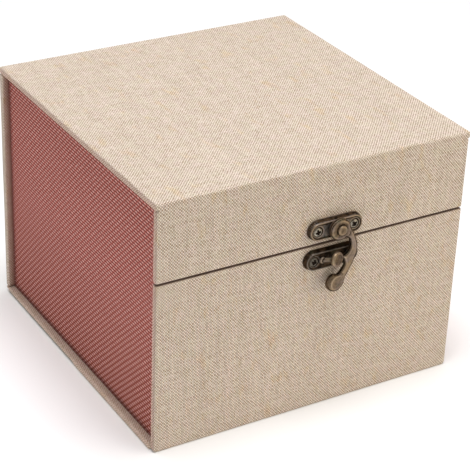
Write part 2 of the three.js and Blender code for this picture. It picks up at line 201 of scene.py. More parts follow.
def wire(value, socket):
    if isinstance(value, Amount):
        socket.id_data.links.new(value.socket, socket)
    else:
        socket.default_value = value


def add_node(tree, kind, inputs, output=0, **settings):
    node = tree.nodes.new(kind)
    for name, value in settings.items():
        setattr(node, name, value)
    for label, value in inputs.items():
        wire(value, node.inputs[label])
    return Amount(node.outputs[output])


def tree_of(*values):
    return next(value.socket.id_data for value in values if isinstance(value, Amount))


def calc(operation, *values):
    return add_node(tree_of(*values), "ShaderNodeMath", dict(enumerate(values)), operation=operation)


def either(share, first, second):
    return first * share + second * (1 - share)


def mixed(share, first, second, how="MIX"):
    inputs = {0: share, 6: first, 7: second}
    return add_node(tree_of(*inputs.values()), "ShaderNodeMix", inputs, 2, data_type="RGBA", blend_type=how)


def tinted(colour, tint, share=1.0):
    return mixed(share, colour, tint, "MULTIPLY")


def stretch(value, low, high, start=0.0, end=1.0):
    return add_node(tree_of(value), "ShaderNodeMapRange", dict(enumerate((value, low, high, start, end))))


def vector_of(x, y, z=0.0):
    return add_node(tree_of(x, y, z), "ShaderNodeCombineXYZ", {0: x, 1: y, 2: z})


def parts_of(vector):
    first = add_node(tree_of(vector), "ShaderNodeSeparateXYZ", {0: vector})
    return [Amount(socket) for socket in first.socket.node.outputs]


def noise_at(place, scale, detail=2.0, output="Fac"):
    inputs = {"Vector": place, "Scale": scale, "Detail": detail}
    return add_node(tree_of(place), "ShaderNodeTexNoise", inputs, output)


def attribute_of(shader, name):
    return add_node(shader.id_data, "ShaderNodeAttribute", {}, "Fac", attribute_name=name)


def new_group(name, kind, inputs, outputs):
    group = bpy.data.node_groups.new(name, kind)
    for sockets, side in ((inputs, "INPUT"), (outputs, "OUTPUT")):
        for label, socket_kind in sockets.items():
            group.interface.new_socket(label, in_out=side, socket_type=f"NodeSocket{socket_kind}")
    given = {socket.name: Amount(socket) for socket in group.nodes.new("NodeGroupInput").outputs}
    return group, given, group.nodes.new("NodeGroupOutput").inputs


weave_labels = ["Relief", "Warp on top", "Tone", "Fibre", "Across", "Along", "Speckle", "Warp count",
                "Weft count"]
weave_group, given, woven_out = new_group(
    "woven cloth", "ShaderNodeTree",
    {"Place": "Vector", "Warp pitch": "Float", "Weft pitch": "Float", "Wander": "Float"},
    dict.fromkeys(weave_labels, "Float"),
)
place_x, place_y, _ = parts_of(given["Place"])
sway_x, sway_y, _ = parts_of(noise_at(given["Place"], sway_scale, 3.0, "Color"))
warp_count = (place_x + (sway_x - 0.5) * given["Wander"]) / given["Warp pitch"]
weft_count = (place_y + (sway_y - 0.5) * given["Wander"]) / given["Weft pitch"]
warp_number = calc("FLOOR", warp_count)
weft_number = calc("FLOOR", weft_count)
across = calc("FRACT", warp_count)
along = calc("FRACT", weft_count)
warp_on_top = calc("FLOORED_MODULO", warp_number + weft_number, 2.0)
tone = either(
    warp_on_top,
    noise_at(vector_of(warp_number * yarn_step, weft_count * slow_change), 1.0),
    noise_at(vector_of(warp_count * slow_change, weft_number * yarn_step, 9.0), 1.0),
)
fibre = either(
    warp_on_top,
    noise_at(vector_of(warp_count * fibre_across, weft_count * fibre_along), 1.0),
    noise_at(vector_of(warp_count * fibre_along, weft_count * fibre_across, 4.0), 1.0),
)
pillow = (calc("SINE", across * math.pi) * calc("SINE", along * math.pi)) ** pillow_softness
relief = pillow * stretch(tone, *thin_to_thick)
numbers = vector_of(warp_number, weft_number)
speckle = add_node(weave_group, "ShaderNodeTexWhiteNoise", {"Vector": numbers}, "Value")
woven_parts = (relief, warp_on_top, tone, fibre, across, along, speckle, warp_count, weft_count)
for label, value in zip(weave_labels, woven_parts):
    wire(value, woven_out[label])


def woven(place, warp_pitch, weft_pitch, wander):
    inputs = {"Place": place, "Warp pitch": warp_pitch, "Weft pitch": weft_pitch, "Wander": wander}
    first = add_node(tree_of(place), "ShaderNodeGroup", inputs, node_tree=weave_group)
    return {socket.name: Amount(socket) for socket in first.socket.node.outputs}


def cloth_finish(name, warp_pitch, weft_pitch, wander, **constants):
    material, shader = new_finish(name, **constants)
    place = add_node(shader.id_data, "ShaderNodeUVMap", {}, uv_map="cloth")
    return material, shader, place, woven(place, warp_pitch, weft_pitch, wander)


def coat(shader, colour, height, depth):
    wire(colour, shader.inputs["Base Color"])
    inputs = {"Height": height, "Distance": depth, "Strength": 1.0}
    wire(add_node(shader.id_data, "ShaderNodeBump", inputs), shader.inputs["Normal"])


# Natural linen: undyed yarns from straw to grey, unevenly spun, rosy or green in patches, with ochre
# slubs and faint streaks along the warp. Cut edges are darker and a little pinker, faces in the parting
# line carry painted shade, and painted shade with a red cast darkens the recess beside the tray.
linen_warp_pitch = 0.69
linen_weft_pitch = 0.76
linen_wander = 0.55
linen_light = (0.89, 0.796, 0.697, 1)
linen_dark = (0.315, 0.209, 0.122, 1)
linen_gap = (0.125, 0.078, 0.044, 1)
linen_rosy = (1.02, 0.98, 0.995, 1)
linen_green = (0.99, 0.995, 0.945, 1)
linen_ochre = (1.0, 0.93, 0.80, 1)
linen_blush = (1.06, 0.89, 0.875, 1)
# Colour of the painted shade, with a red cast, in the recess beside the tray.
red_recess_shade = (0.22, 0.055, 0.035, 1)
# Colour of the darker cut edges and of the painted shade in the parting line.
linen_dark_edge_and_shade = (0.10, 0.036, 0.023, 1)
yarn_shares = {"Tone": 0.8, "Warp on top": 0.76, "Fibre": 0.45, "Speckle": 0.34}
yarn_range = (0.57, 1.55)
gap_range = (0.05, 0.5, 0.6, 0.0)
patch_scale = 0.2
patch_range = (0.35, 0.65)
slub_stretch = (0.12, 0.06, 3.0)
slub_range = (0.59, 0.715, 0.0, 0.85)
streak_stretch = (0.45, 0.012, 6.0)
streak_range = (0.3, 0.7, 0.95, 1.05)
linen_relief = 0.12 * mm
fibre_relief = 0.25

linen, shader, place, weave = cloth_finish(
    "natural linen", linen_warp_pitch, linen_weft_pitch, linen_wander,
    Roughness=0.85, Sheen_Weight=0.08, Sheen_Roughness=0.45,
)


def along_yarns(across, along, seed):
    return noise_at(vector_of(weave["Warp count"] * across, weave["Weft count"] * along, seed), 1.0)


shade = sum(weave[part] * share for part, share in yarn_shares.items())
yarn = mixed(stretch(shade, *yarn_range), linen_dark, linen_light)
yarn = mixed(stretch(weave["Relief"], *gap_range), yarn, linen_gap)
patches = noise_at(place, patch_scale, 3.0)
yarn = tinted(yarn, mixed(stretch(patches, *patch_range), linen_green, linen_rosy))
yarn = tinted(yarn, linen_ochre, stretch(along_yarns(*slub_stretch), *slub_range))
yarn = tinted(yarn, stretch(along_yarns(*streak_stretch), *streak_range))
yarn = tinted(yarn, linen_blush, attribute_of(shader, "blush"))
# Painted shade with a red cast in the recess beside the tray.
yarn = mixed(attribute_of(shader, "recess_shade"), yarn, red_recess_shade)
# Darker cut edges, and painted shade on the faces in the parting line.
yarn = mixed(attribute_of(shader, "edge_darkening_and_parting_shade"), yarn, linen_dark_edge_and_shade)
coat(shader, yarn, weave["Relief"] + weave["Fibre"] * fibre_relief, linen_relief)

# The five covered boards of the case: greyboard wrapped in one long strip of linen, glued, with the
# cloth turned in round every edge. The weave is measured along the strip, from the front's foot up.
edge_radius = 0.8 * mm
fold_radius = 2.3 * mm
arc_steps = 4
panel_step = 4 * mm
mark_clearance = 0.6 * mm
step_width = 0.03 * mm
swell = 0.05 * mm
swell_size = 22 * mm
recess_depth = 0.4 * mm
tuck_depth = 0.05 * mm
parting_gap = 0.18 * mm
parting_reach = 2 * mm
parting_shade = 0.75
table_clearance = 0.02 * mm
foot_corner = 1.8 * mm
hair = 0.001 * mm


def corners_of(node):
    return [np.array(corner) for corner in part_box(node)]


def uneven(points, size, seed):
    return np.array([noise.noise(Vector(p) / size + Vector((seed, seed, seed))) for p in points])


def mark(piece, name, values):
    piece.data.attributes.new(name, "FLOAT", "POINT").data.foreach_set("value", values)


def stations(low, high, marks):
    ends = edge_radius * (1 - np.tan(np.linspace(math.pi / 4, 0, arc_steps + 1)))
    count = max(1, round((high - low - 2 * edge_radius) / panel_step))
    flat = np.linspace(low + edge_radius, high - edge_radius, count + 1)
    flat = [value for value in flat if all(abs(value - mark) > mark_clearance for mark in marks)]
    return np.array(sorted({round(v, 8) for v in [*(low + ends), *flat, *marks, *(high - ends)]}))


def grid_box(cuts):
    index, quads, sides = {}, [], []
    for axis in range(3):
        first, second = (axis + 1) % 3, (axis + 2) % 3
        for end in (0, len(cuts[axis]) - 1):
            for i in range(len(cuts[first]) - 1):
                for j in range(len(cuts[second]) - 1):
                    corners = []
                    for di, dj in square:
                        place = [0, 0, 0]
                        place[axis], place[first], place[second] = end, i + di, j + dj
                        corners.append(index.setdefault(tuple(place), len(index)))
                    quads.append(corners if end else corners[::-1])
                    sides.append(axis)
    return np.array([[cuts[a][place[a]] for a in range(3)] for place in index]), quads, np.array(sides)


# Each cover's body, the axis and side of its outer face, darkening and blush of its cut edges, painted
# shade with a red cast at the tray and at the rim, the bare joints that it meets and the lining let into it.
covers = {
    "front_cloth": ("case", 1, -1, 0.26, 1.0, (0.88, 0.05), [], None),
    "flap_cloth": ("flap", 1, -1, 0.22, 1.0, (0, 0), ["flap_fold_cloth"], "flap_lining"),
    "lid_cloth": ("lid", 2, 1, 0.16, 1.0, (0, 0), ["flap_fold_cloth", "lid_hinge_cloth"], "lid_lining"),
    "back_cloth": ("case", 1, 1, 0.2, 0.0, (0.88, 0.05), ["lid_hinge_cloth", "base_fold_cloth"], None),
    "base_cloth": ("case", 2, -1, 0.06, 0.5, (0.47, 0.2), ["base_fold_cloth"], None),
}
joint_sides = {"flap_fold_cloth": -1, "lid_hinge_cloth": 1, "base_fold_cloth": 1}
parting_sides = {"front_cloth": -1, "flap_cloth": 1}
box_low, box_high = (np.array(corner) for corner in cad_box)
lid_low, lid_high = corners_of("lid_cloth")
lid_end = lid_high[2] + lid_high[1] - lid_low[1]
strips = {
    "front_cloth": (2, 1, 0), "flap_cloth": (2, 1, 0), "lid_cloth": (1, 1, lid_high[2] - lid_low[1]),
    "back_cloth": (2, -1, lid_end + lid_high[2]),
    "base_cloth": (1, -1, lid_end + lid_high[2] + box_high[1]),
}
tray_low, tray_high = corners_of("tray_left_cloth")
tray_edge = -tray_low[0]


def along_strip(node, points):
    axis, sign, start = strips[node]
    return start + sign * points[..., axis]


for node, (body, axis, outer, edge_darkening, edge_blush, recess_shade, joints, lining_node) in covers.items():
    low, high = corners_of(node)
    others = [a for a in range(3) if a != axis]
    outer_plane, inner_plane = (high[axis], low[axis]) if outer > 0 else (low[axis], high[axis])
    marks = [[-tray_edge, tray_edge], [], []]
    for joint in joints:
        for corner in corners_of(joint):
            if low[2] + edge_radius < corner[2] < high[2] - 0.1 * mm:
                marks[2] += [corner[2], corner[2] + step_width, corner[2] - step_width]
            marks[0] += [corner[0], corner[0] + step_width * np.sign(corner[0])]
    if lining_node:
        window = corners_of(lining_node)
        for corner, side in zip(window, (-1, 1)):
            for a in others:
                marks[a] += [corner[a], corner[a] + side * step_width]
    if node == "front_cloth":
        marks[0] += [low[0] + foot_corner, high[0] - foot_corner]
        marks[2].append(low[2] + foot_corner)
    flat_points, quads, sides = grid_box([stations(low[a], high[a], marks[a]) for a in range(3)])
    radius = np.full(len(flat_points), edge_radius)
    core_high = np.tile(high - edge_radius, (len(flat_points), 1))
    if node == "base_cloth":
        folded = (flat_points[:, 1] > 0) & (flat_points[:, 2] < (low[2] + high[2]) / 2)
        radius[folded] = fold_radius
        core_high[folded, 1] = high[1] - fold_radius
    core = np.clip(flat_points, low + radius[:, None], core_high)
    normal = (flat_points - core) / np.linalg.norm(flat_points - core, axis=1)[:, None]
    points = core + normal * radius[:, None]
    if node == "front_cloth":
        sideways = np.clip(np.abs(points[:, 0]) - (high[0] - foot_corner), 0, None)
        downward = np.clip(low[2] + foot_corner - points[:, 2], 0, None)
        reach = np.maximum(np.hypot(sideways, downward), 1e-9)
        shrink = np.where(sideways * downward > 0, np.maximum(sideways, downward) / reach, 1)
        points[:, 0] -= np.sign(points[:, 0]) * sideways * (1 - shrink)
        points[:, 2] += downward * (1 - shrink)
    # Painted shade on the faces inside the parting line between flap and front.
    parting_shade_share = 0
    if node in parting_sides:
        level = (low if parting_sides[node] > 0 else high)[2]
        nearness = np.clip(1 - np.abs(points[:, 2] - level) / parting_reach, 0, 1)
        points[:, 2] += nearness * parting_gap * parting_sides[node]
        at_parting = np.abs(flat_points[:, 2] - level) < 1 * mm
        parting_shade_share = parting_shade * at_parting * np.clip((np.abs(normal[:, 2]) - 0.3) / 0.5, 0, 1)
    points += normal * (uneven(points, swell_size, 3.0) * swell)[:, None]
    points[:, 2] = np.maximum(points[:, 2], box_low[2] + table_clearance)
    for joint in joints:
        side = joint_sides[joint]
        joint_low, joint_high = corners_of(joint)
        inside = (
            (flat_points[:, 1] * side > 0) & (np.abs(flat_points[:, 0]) < joint_high[0] + step_width / 2)
            & (flat_points[:, 2] > joint_low[2] + step_width / 2)
            & (flat_points[:, 2] < joint_high[2] - step_width / 2)
        )
        tucked = (joint_high if side < 0 else joint_low)[1] - side * tuck_depth
        points[inside, 1] = side * np.minimum(side * points[inside, 1], side * tucked)
    if lining_node:
        inside = np.abs(flat_points[:, axis] - inner_plane) < hair
        for a in others:
            inside &= flat_points[:, a] > window[0][a] - step_width / 2
            inside &= flat_points[:, a] < window[1][a] + step_width / 2
        points[inside, axis] += recess_depth * outer
    depth = outer * (outer_plane - flat_points[:, axis])
    across = flat_points[:, 0]
    along = along_strip(node, flat_points)
    wrapped_across = np.sign(across) * (high[0] + depth)
    wrapped_along = along + np.sign(along - along_strip(node, (low + high) / 2)) * depth
    sides = sides[:, None]
    uvs = np.stack([
        np.where(sides == 0, wrapped_across[quads], across[quads]),
        np.where((sides == 0) | (sides == axis), along[quads], wrapped_along[quads]),
    ], axis=-1) / mm
    piece = make_piece(node.replace("_cloth", "_cover"), points, quads, linen, uvs)
    inwards = depth / (high[axis] - low[axis])
    overhang = np.clip((np.abs(across) - tray_edge) / (high[0] - tray_edge), 0, 1)
    on_edge = np.abs(across) > high[0] - hair
    # The cut edges darken towards the outer face.
    darker_edge = edge_darkening * on_edge * np.clip(1.2 - 1.4 * inwards, 0, 1)
    mark(piece, "edge_darkening_and_parting_shade", np.maximum(darker_edge, parting_shade_share))
    # Painted shade with a red cast on the inner face beside the tray, strongest next to it.
    mark(piece, "recess_shade", (inwards > 0.99) * (recess_shade[0] + (recess_shade[1] - recess_shade[0]) * overhang))
    mark(piece, "blush", edge_blush * on_edge * np.clip(0.3 + 1.1 * inwards, 0, 1))
    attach(piece, body)
    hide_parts(node)

# The cloth joints: the strip runs on bare over the folds at the top back, top front and bottom back,
# glued flush with the covers. The two upper ones are the hinges of lid and flap, left here unattached to
# any body, so they do not bend.
joint_step = 0.2 * mm
cloth_joints = {
    "flap_fold_cloth": ("front_cloth", ("lid", "flap"), 1),
    "lid_hinge_cloth": ("back_cloth", ("case", "lid"), -1),
    "base_fold_cloth": ("back_cloth", None, 0),
}

for node, (strip_node, bodies, start_side) in cloth_joints.items():
    low, high = corners_of(node)
    across = np.linspace(low[0], high[0], round((high[0] - low[0]) / panel_step) + 1)
    upward = np.linspace(low[2], high[2], round((high[2] - low[2]) / joint_step) + 1)
    flat_points, quads, _ = grid_box([across, [low[1], high[1]], upward])
    outer_plane = (low if joint_sides[node] < 0 else high)[1]
    on_outside = np.abs(flat_points[:, 1] - outer_plane) < hair
    points = flat_points.copy()
    points[:, 1] += joint_sides[node] * on_outside * uneven(flat_points, swell_size, 3.0) * swell
    uvs = np.stack([flat_points[:, 0], along_strip(strip_node, flat_points)], axis=-1)[quads] / mm
    piece = make_piece(node.replace("_cloth", "_band"), points, quads, linen, uvs, smooth=False)
    if bodies:
        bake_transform(piece)
    else:
        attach(piece, "case")
    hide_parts(node)

# The tray's red cloth, glued to the outside of its board walls, over the rim and a short way down
# inside, with mitred corners. Pink floats stand in staggered rows on a dark red ground; painted shade
# darkens the cloth along its edges where it meets the boards, and it is darker towards the foot.
red_warp_pitch = 1.575
red_weft_pitch = 1.515
red_wander = 0.5
red_gap = (0.17, 0.025, 0.018, 1)
red_ground = (0.45, 0.112, 0.087, 1)
red_yarn = (0.58, 0.156, 0.124, 1)
ground_range = (0.35, 0.65)
dull_pink = (0.62, 0.272, 0.237, 1)
pink_yarn = (0.89, 0.462, 0.418, 1)
pink_scale = 0.55
pink_range = (0.42, 0.88)
float_half = 0.6
row_half = 0.285
yarn_softness = 0.1
# Colour of the painted shade along the red cloth's edges.
red_edge_shade = (0.06, 0.010, 0.008, 1)
edge_shade_range = (0.0, 3.5, 0.6, 0.0)
foot_shade = (0.63, 0.46, 0.37, 1)
foot_range = (0.0, 62.0, 1.0, 0.0)
floats_spared = 0.93
red_relief = 0.22 * mm
rim_radius = 0.9 * mm
cloth_thickness = 0.4 * mm
red_swell_size = 30 * mm

red_cloth, shader, place, weave = cloth_finish(
    "red woven cloth", red_warp_pitch, red_weft_pitch, red_wander,
    Roughness=0.85, Specular_IOR_Level=0.2, Sheen_Weight=0.02, Sheen_Roughness=0.4,
)


def from_middle(value):
    return calc("ABSOLUTE", value - 0.5)


def within(distance, half):
    return stretch(distance, half + yarn_softness, half - yarn_softness)


in_cell = from_middle(weave["Across"])
on_float = within(either(weave["Warp on top"], in_cell, 1 - in_cell), float_half)
on_row = within(from_middle(weave["Along"]), row_half)
ground = mixed(stretch(weave["Fibre"], *ground_range), red_ground, red_yarn)
float_tone = noise_at(place, pink_scale) * 0.8 + weave["Fibre"] * 0.5
pink = mixed(stretch(float_tone, *pink_range), dull_pink, pink_yarn)
colour = mixed(on_row, red_gap, mixed(on_float, ground, pink))
foot_share = stretch(parts_of(place)[1], *foot_range) * (1 - on_row * on_float * floats_spared)
colour = tinted(colour, foot_shade, foot_share)
# Painted shade along the cloth's edges where it meets the boards.
colour = mixed(stretch(attribute_of(shader, "edge distance"), *edge_shade_range), colour, red_edge_shade)
coat(shader, colour, on_row * (0.4 + on_float * 0.6) + weave["Fibre"] * 0.4, red_relief)


def arc(centre, radius, start, end, count):
    angles = np.radians(np.linspace(start, end, count))
    return [(centre[0] + radius * math.cos(a), centre[1] + radius * math.sin(a)) for a in angles]


rim = tray_high[2]
tray_wall = tray_high[0] - tray_low[0]
below_rim = rim - rim_radius
turn_in_end = corners_of("left_lining")[1][2]
profile = [(0, z) for z in np.linspace(tray_low[2], below_rim, 28)[:-1]]
profile += arc((rim_radius, below_rim), rim_radius, 180, 90, 6)
profile += arc((tray_wall - rim_radius, below_rim), rim_radius, 90, 0, 6)
profile += [(tray_wall, z) for z in np.linspace(below_rim, turn_in_end, 4)[1:]]
profile += [
    (tray_wall - cloth_thickness, turn_in_end), (tray_wall - cloth_thickness, below_rim),
    (tray_wall - rim_radius, rim - cloth_thickness), (rim_radius, rim - cloth_thickness),
    (cloth_thickness, below_rim), (cloth_thickness, tray_low[2]),
]
lengths = np.concatenate([[0], np.cumsum([math.dist(a, b) for a, b in zip(profile, profile[1:])])])
count = len(profile)
shares = np.linspace(-1, 1, 39)

for name, axis, side in (("left", 0, -1), ("right", 0, 1), ("front", 1, -1), ("back", 1, 1)):
    half_out = -tray_low[axis]
    half_along = -tray_low[1 - axis]
    points, faces, uvs = [], [], []
    for share in shares:
        for inward, z in profile:
            place = [0, 0, z]
            place[axis] = side * (half_out - inward)
            place[1 - axis] = share * (half_along - inward)
            points.append(place)
    points = np.array(points)
    outside = np.tile([inward < hair for inward, _ in profile], len(shares))
    points[:, axis] += side * outside * uneven(points, red_swell_size, 7.0) * swell
    forward = side * (1 - 2 * axis) > 0
    order = square if forward else square[::-1]
    for i in range(len(shares) - 1):
        for j in range(count):
            faces.append([(i + di) * count + (j + dj) % count for di, dj in order])
            for di, dj in order:
                uvs.append((shares[i + di] * half_along / mm, lengths[min(j + dj, count - 1)] / mm))
    for i, backward in ((0, forward), (len(shares) - 1, not forward)):
        cap = range(count)[::-1] if backward else range(count)
        faces.append([i * count + j for j in cap])
        uvs += [(0, lengths[j] / mm) for j in cap]
    piece = make_piece(f"{name}_tray_cloth", points, faces, red_cloth, np.array(uvs))
    to_end = np.repeat((1 - np.abs(shares)) * half_along, count)
    to_foot = np.tile([z - tray_low[2] for _, z in profile], len(shares))
    mark(piece, "edge distance", np.minimum(to_end, to_foot) / mm)
    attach(piece, "case")
    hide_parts(f"tray_{name}_cloth")

# The linings: thin ivory cotton glued over the bare board inside the tray, the lid and the flap. The
# boards themselves are grey pressed pulp and show only at their cut edges.
lining_pitch = 0.5
lining_wander = 0.4
lining_light = (0.82, 0.77, 0.67, 1)
lining_dark = (0.66, 0.60, 0.50, 1)
lining_range = (0.2, 1.2)
lining_relief = 0.06 * mm
pulp_light = (0.42, 0.39, 0.35, 1)
pulp_dark = (0.30, 0.28, 0.25, 1)
pulp_range = (0.35, 0.65)
speck_scale = 1800.0
cloud_scale = 90.0
pulp_relief = 0.05 * mm


def object_place(shader, output="Object"):
    return add_node(shader.id_data, "ShaderNodeTexCoord", {}, output)


lining, shader = new_finish("ivory cotton", Roughness=0.8, Sheen_Weight=0.15)
x, y, z = (part / mm for part in parts_of(object_place(shader)))
facing_x, _, facing_z = (
    calc("GREATER_THAN", calc("ABSOLUTE", part), 0.5) for part in parts_of(object_place(shader, "Normal"))
)
place = vector_of(either(facing_x, y, x), either(facing_z, y, z))
weave = woven(place, lining_pitch, lining_pitch, lining_wander)
shade = stretch(weave["Relief"] + weave["Tone"] * 0.6, *lining_range)
coat(shader, mixed(shade, lining_dark, lining_light), weave["Relief"], lining_relief)

greyboard, shader = new_finish("greyboard", Roughness=0.95)
specks = noise_at(object_place(shader), speck_scale, 4.0)
clouds = noise_at(object_place(shader), cloud_scale, 3.0)
shade = stretch(specks * 0.7 + clouds * 0.3, *pulp_range)
coat(shader, mixed(shade, pulp_dark, pulp_light), specks, pulp_relief)

plain_finishes = {"lining": lining, "greyboard": greyboard}
for row in frame["record"]["subparts"]:
    if row["material_slot"] in plain_finishes:
        materials = bpy.data.objects[row["node"]].data.materials
        materials.clear()
        materials.append(plain_finishes[row["material_slot"]])

# The nest for the doll's head: a block of foam under one piece of ivory plush, which runs up the
# outside, over a softly crowned top and a rolled lip, and down the round well to its floor.
nest_low, nest_high = corners_of("foam_insert")
nest_inset = 0.3 * mm
nest_half = (nest_high - nest_low)[:2] / 2 - nest_inset
nest_corner = 9 * mm
nest_edge = 5 * mm
nest_sides = 168
crown_rise = 3 * mm
well_radius = 50 * mm
well_floor = nest_low[2] + 14 * mm
floor_rise = 1.2 * mm
lip_radius = 9 * mm
gather_count = 44
gather_height = 0.22 * mm
gather_reach = 22 * mm
plush_fullness = 0.7 * mm
wall_fullness = 0.4
plush_light = (0.88, 0.83, 0.75, 1)
plush_shade = (0.66, 0.60, 0.52, 1)
plush_range = (0.32, 0.66)
pile_scale = 1500.0
stroke_scale = 45.0
pile_height = 0.22 * mm

plush, shader = new_finish("ivory plush", Roughness=0.9, Sheen_Weight=0.5, Sheen_Roughness=0.35)
pile = noise_at(object_place(shader), pile_scale, 3.0)
strokes = noise_at(object_place(shader), stroke_scale, 4.0)
shade = pile * 0.65 + strokes * 0.35
coat(shader, mixed(stretch(shade, *plush_range), plush_shade, plush_light), shade, pile_height)


def rounded_square(angle, half_x, half_y, corner):
    direction = np.array([math.cos(angle), math.sin(angle)])
    reach = min(half_x / max(abs(direction[0]), 1e-9), half_y / max(abs(direction[1]), 1e-9))
    core = np.array([half_x - corner, half_y - corner])
    if (np.abs(direction * reach) > core).all():
        centre = np.sign(direction) * core
        along = direction @ centre
        reach = along + math.sqrt(max(corner ** 2 - (centre @ centre - along ** 2), 0))
    return direction * reach


def ring_faces(rings, count):
    faces = []
    for r in range(rings - 1):
        for i in range(count):
            k = (i + 1) % count
            faces.append((r * count + i, r * count + k, (r + 1) * count + k, (r + 1) * count + i))
    return faces


def even_angles(count):
    return 2 * math.pi * np.arange(count) / count


def rounded_edge(kind, inset, level, way):
    sweep = np.radians(np.linspace(15, 90, 6))
    rises = level + way * nest_edge * (1 - np.sin(sweep))
    return [(kind, inset + nest_edge * (1 - math.cos(a)), z, 0) for a, z in zip(sweep, rises)]


nest_top = nest_high[2]
crown_low = nest_top - crown_rise
lip_low = nest_top - lip_radius
rows = [("foot", nest_edge * 0.6, nest_low[2], 0)]
rows += [("outside", 0, z, 0) for z in np.linspace(nest_low[2] + nest_edge, crown_low - nest_edge, 12)]
rows += rounded_edge("outside", 0, crown_low, -1)
for share in np.linspace(0.06, 1, 9):
    rows.append(("between", share, crown_low + crown_rise * math.sin(share * math.pi / 2), share ** 3))
for angle in np.radians(np.linspace(80, 0, 9)):
    z = nest_top - lip_radius * (1 - math.sin(angle))
    rows.append(("well", lip_radius * (1 - math.cos(angle)), z, math.sin(angle) ** 0.5))
for z in np.linspace(lip_low, well_floor + nest_edge, 16)[1:]:
    rows.append(("well", lip_radius, z, 0.8 * max(0, 1 - (lip_low - z) / gather_reach)))
rows += rounded_edge("well", lip_radius, well_floor, 1)
for share in np.linspace(0.15, 0.9, 6):
    rows.append(("floor", share, well_floor + floor_rise * math.sin(share * math.pi / 2), 0))

points = []
for kind, amount, z, gather in rows:
    for angle in even_angles(nest_sides):
        direction = np.array([math.cos(angle), math.sin(angle)])
        lip = direction * (well_radius + lip_radius)
        if kind in ("foot", "outside"):
            place = rounded_square(angle, *(nest_half - amount), nest_corner)
        elif kind == "between":
            top_edge = rounded_square(angle, *(nest_half - nest_edge), nest_corner)
            place = top_edge * (1 - amount) + lip * amount
        elif kind == "well":
            place = lip - direction * amount
        else:
            place = direction * (well_radius - nest_edge) * (1 - amount)
        drape = noise.noise(Vector((*direction * 5, z * 30)))
        fold_depth = 0.6 + 0.4 * noise.noise(Vector((*direction * 9, 4.0)))
        fold = math.sin(gather_count * angle + 2.5 * drape) * fold_depth
        fullness = noise.noise(Vector((*place * 28, z * 28 + 11))) * plush_fullness
        inward = gather * gather_height * (fold - 1)
        level = z
        if kind == "outside":
            place = place * (1 - abs(fullness) / nest_half[0])
        elif kind == "between":
            level += inward - abs(fullness)
        elif kind == "well":
            place = place - direction * (inward + fullness * wall_fullness)
            level += min(0, inward) * 0.5
        elif kind == "floor":
            level += fullness * wall_fullness
        points.append((*place, level))
faces = ring_faces(len(rows), nest_sides)
last_ring = len(points) - nest_sides
points += [(0, 0, nest_low[2]), (0, 0, well_floor + floor_rise)]
for i in range(nest_sides):
    k = (i + 1) % nest_sides
    faces += [(k, i, len(points) - 2), (last_ring + i, last_ring + k, len(points) - 1)]
piece = make_piece("head_nest", points, faces, plush)
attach(piece, "case")
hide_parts("foam_insert")

# The lid pad: a flat plush cushion glued under the lid lining, which keeps the head from moving. It is
# blown up by cloth simulation and piped with a cord of the same plush along its seam.
pad_low, pad_high = corners_of("lid_pad")
pad_middle = (pad_low + pad_high) / 2
pad_half = (pad_high - pad_low) / 2
pad_corner = 12 * mm
pad_start = 1.5 * mm
pad_rings = [(2.0 * mm, -1), (0, -0.55), (0, 0.55), (1.2 * mm, 1)]
pad_sides = 120
pad_voxel = 2.5 * mm
pad_pressure = 4.0
pad_frames = 20
pad_travel = 4 * mm
pad_margin = 0.1 * mm
crown_width = 26 * mm
crown_depth = 1.8 * mm
piping_radius = 1.1 * mm
piping_drop = 3.2 * mm
piping_sides = 8
piping_turns = 240


def loops_solid(loops):
    count = len(loops[0])
    last = (len(loops) - 1) * count
    faces = ring_faces(len(loops), count)
    faces += [range(count)[::-1], range(last, last + count)]
    return np.concatenate(loops), faces


def final_mesh(piece):
    mesh = bpy.data.meshes.new_from_object(piece.evaluated_get(bpy.context.evaluated_depsgraph_get()))
    piece.modifiers.clear()
    return mesh


def remeshed(name, points, faces, material, voxel, smoothing=0):
    raw = make_piece(name, points, faces, material, smooth=False)
    remesh = raw.modifiers.new("remesh", "REMESH")
    remesh.mode = "VOXEL"
    remesh.voxel_size = voxel
    if smoothing:
        smooth = raw.modifiers.new("smooth", "SMOOTH")
        smooth.factor = 0.5
        smooth.iterations = smoothing
    raw.data = final_mesh(raw)
    raw.data.shade_smooth()
    raw.data.materials.clear()
    raw.data.materials.append(material)
    return raw


def of_vertices(mesh, field):
    values = np.empty(len(mesh.vertices) * 3)
    mesh.vertices.foreach_get(field, values)
    return values.reshape(-1, 3)


loops = []
for inset, level in pad_rings:
    half = pad_half[:2] - pad_start - inset
    z = pad_middle[2] + level * (pad_half[2] - pad_start)
    ring = [rounded_square(angle, *half, pad_corner) + pad_middle[:2] for angle in even_angles(pad_sides)]
    loops.append([(*place, z) for place in ring])
pad = remeshed("lid_cushion", *loops_solid(loops), plush, pad_voxel)
before = of_vertices(pad.data, "co")
after = before
cloth = pad.modifiers.new("cloth", "CLOTH")
cloth.settings.use_pressure = True
cloth.settings.uniform_pressure_force = pad_pressure
cloth.settings.effector_weights.gravity = 0
cloth.point_cache.frame_start = 1
cloth.point_cache.frame_end = pad_frames
for step in range(1, pad_frames + 1):
    scene.frame_set(step)
after = of_vertices(final_mesh(pad), "co")
scene.frame_set(1)
travel = after - before
distance = np.linalg.norm(travel, axis=1)
after = before + travel * np.minimum(1, pad_travel / np.maximum(distance, 1e-9))[:, None]
from_side = np.min(pad_half[:2] - np.abs(after[:, :2]), axis=1)
crown = 1 - np.clip(from_side / crown_width, 0, 1)
after[:, 2] += np.where(after[:, 2] < pad_middle[2], crown ** 2 * crown_depth, 0)
after = np.clip(after, pad_low + pad_margin, pad_high - pad_margin)
pad.data.vertices.foreach_set("co", after.ravel())
subdivide = pad.modifiers.new("subdivide", "SUBSURF")
subdivide.levels = 1
subdivide.render_levels = 1
pad.data = final_mesh(pad)
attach(pad, "lid")
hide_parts("lid_pad")

